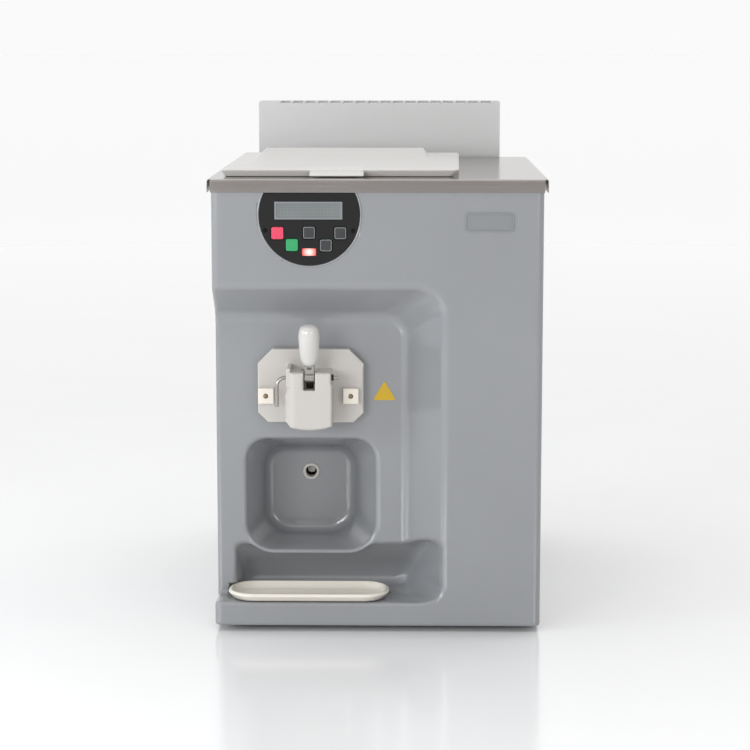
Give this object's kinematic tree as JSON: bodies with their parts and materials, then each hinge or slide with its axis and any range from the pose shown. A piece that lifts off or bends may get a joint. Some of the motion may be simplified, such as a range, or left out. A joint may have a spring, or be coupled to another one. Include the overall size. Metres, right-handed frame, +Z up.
{
  "type": "soft serve ice cream machine",
  "caption": "Countertop soft-serve ice cream machine: moulded front with cup recess, pull-lever dispensing head, top hopper with lid, drip dish and rear air duct.",
  "frame": {"origin": "centre of the footprint, on the plane the feet stand on", "axes": "+X to the machine's right as its user faces it, +Y to the back, +Z up"},
  "size_m": [0.41, 0.6144, 0.6357],
  "materials": {
    "body_plastic": "gloss, moulded",
    "body_paint": "gloss paint, same colour as the front panel",
    "brushed_cover": "satin, grain across the front",
    "brushed_steel": "satin",
    "galvanised_sheet": "dull zinc",
    "duct_grey": "satin paint",
    "lid_white": "satin, moulded",
    "acetal_white": "satin, machined and moulded",
    "knob_white": "gloss",
    "nut_cream": "satin",
    "dish_cream": "gloss",
    "rubber_black": "matte",
    "overlay_black": "fine texture film",
    "lcd_window": "clear window over a grey-green display",
    "key_red": "satin",
    "key_green": "satin",
    "key_grey": "satin with a pale outline",
    "indicator_red": "red lens with a white middle",
    "steel_bright": "polished stainless",
    "cast_aluminium": "as cast",
    "compressor_black": "gloss black",
    "fan_black": "matte",
    "copper": "bare copper",
    "foam": "closed-cell foam",
    "board_green": "solder mask",
    "tube_clear": "milky hose"
  },
  "bodies": {
    "cabinet": {"front_panel": "body_plastic", "recess_liner": "body_plastic", "niche_liner": "body_plastic", "left_side_panel": "body_paint", "right_side_panel": "body_paint", "rear_panel": "galvanised_sheet", "base_tray": "galvanised_sheet", "foot_front_left": "rubber_black", "foot_front_right": "rubber_black", "foot_rear_left": "rubber_black", "foot_rear_right": "rubber_black", "top_cover": "brushed_cover", "rear_air_duct": "duct_grey", "power_inlet": "rubber_black", "hopper_tank": "brushed_steel", "freezing_cylinder": "brushed_steel", "cylinder_insulation": "foam", "shaft_seal": "rubber_black", "bearing_housing": "cast_aluminium", "drive_bulkhead": "galvanised_sheet", "drive_belt": "rubber_black", "drive_motor": "cast_aluminium", "compressor": "compressor_black", "discharge_line": "copper", "suction_line": "copper", "condenser": "cast_aluminium", "fan_shroud": "galvanised_sheet", "fan_motor": "compressor_black", "electrical_box": "galvanised_sheet", "control_board": "board_green", "control_overlay": "overlay_black", "lcd_display": "lcd_window", "status_indicator": "indicator_red", "dispensing_head": "acetal_white", "head_seal": "rubber_black", "star_nozzle": "acetal_white", "head_stud_left": "steel_bright", "head_stud_right": "steel_bright", "drain_ferrule": "acetal_white", "drain_tube": "tube_clear"},
    "lid": {"hopper_lid": "lid_white"},
    "feed": {"feed_tube": "acetal_white"},
    "dish": {"drip_dish": "dish_cream"},
    "lever": {"lever": "steel_bright", "lever_knob": "knob_white"},
    "piston": {"spigot_piston": "acetal_white", "piston_ring_lower": "rubber_black", "piston_ring_upper": "rubber_black"},
    "pin": {"pivot_pin": "steel_bright"},
    "nut_left": {"fixing_nut_left": "nut_cream"},
    "nut_right": {"fixing_nut_right": "nut_cream"},
    "beater": {"beater": "brushed_steel", "driven_pulley": "cast_aluminium"},
    "motor_drive": {"motor_pulley": "steel_bright"},
    "fan": {"fan_blade": "fan_black"},
    "key_standby_cap": {"key_standby": "key_red"},
    "key_produce_cap": {"key_produce": "key_green"},
    "key_select_cap": {"key_select": "key_grey"},
    "key_menu_cap": {"key_menu": "key_grey"},
    "key_set_cap": {"key_set": "key_grey"}
  },
  "joints": [
    {"name": "lid_lift", "type": "slide", "parent": "cabinet", "child": "lid", "axis": [0, 0, 1], "range_m": [0, 0.12]},
    {"name": "feed_tube_lift", "type": "slide", "parent": "cabinet", "child": "feed", "axis": [0, 0, 1], "range_m": [0, 0.025]},
    {"name": "dish_pull_out", "type": "slide", "parent": "cabinet", "child": "dish", "axis": [0, -1, 0], "range_m": [0, 0.12]},
    {"name": "lever_pull", "type": "hinge", "parent": "cabinet", "child": "lever", "pos_m": [-0.0822, -0.283, 0.316], "axis": [1, 0, 0], "range_deg": [0, 60]},
    {"name": "piston_lift", "type": "slide", "parent": "cabinet", "child": "piston", "axis": [0, 0, 1], "range_m": [0, 0.0221]},
    {"name": "pivot_pin_pull", "type": "slide", "parent": "cabinet", "child": "pin", "axis": [-1, 0, 0], "range_m": [0, 0.08]},
    {"name": "left_nut_turn", "type": "hinge", "parent": "cabinet", "child": "nut_left", "pos_m": [-0.1368, -0.257, 0.2896], "axis": [0, 1, 0], "continuous": true},
    {"name": "right_nut_turn", "type": "hinge", "parent": "cabinet", "child": "nut_right", "pos_m": [-0.0328, -0.257, 0.2896], "axis": [0, 1, 0], "continuous": true},
    {"name": "beater_spin", "type": "hinge", "parent": "cabinet", "child": "beater", "pos_m": [-0.0822, -0.085, 0.301], "axis": [0, 1, 0], "continuous": true},
    {"name": "motor_spin", "type": "hinge", "parent": "cabinet", "child": "motor_drive", "pos_m": [0.09, 0.1, 0.301], "axis": [0, 1, 0], "continuous": true},
    {"name": "fan_spin", "type": "hinge", "parent": "cabinet", "child": "fan", "pos_m": [0.08, 0.175, 0.137], "axis": [0, 1, 0], "continuous": true},
    {"name": "key_standby_press", "type": "slide", "parent": "cabinet", "child": "key_standby_cap", "axis": [0, 1, 0], "range_m": [0, 0.0008], "stiffness_N_per_m": 500},
    {"name": "key_produce_press", "type": "slide", "parent": "cabinet", "child": "key_produce_cap", "axis": [0, 1, 0], "range_m": [0, 0.0008], "stiffness_N_per_m": 500},
    {"name": "key_select_press", "type": "slide", "parent": "cabinet", "child": "key_select_cap", "axis": [0, 1, 0], "range_m": [0, 0.0008], "stiffness_N_per_m": 500},
    {"name": "key_menu_press", "type": "slide", "parent": "cabinet", "child": "key_menu_cap", "axis": [0, 1, 0], "range_m": [0, 0.0008], "stiffness_N_per_m": 500},
    {"name": "key_set_press", "type": "slide", "parent": "cabinet", "child": "key_set_cap", "axis": [0, 1, 0], "range_m": [0, 0.0008], "stiffness_N_per_m": 500}
  ],
  "couplings": [
    {"joint": "piston_lift", "follows": "lever_pull", "m_per_rad": 0.021008},
    {"joint": "motor_spin", "follows": "beater_spin", "ratio": 3.1557}
  ]
}
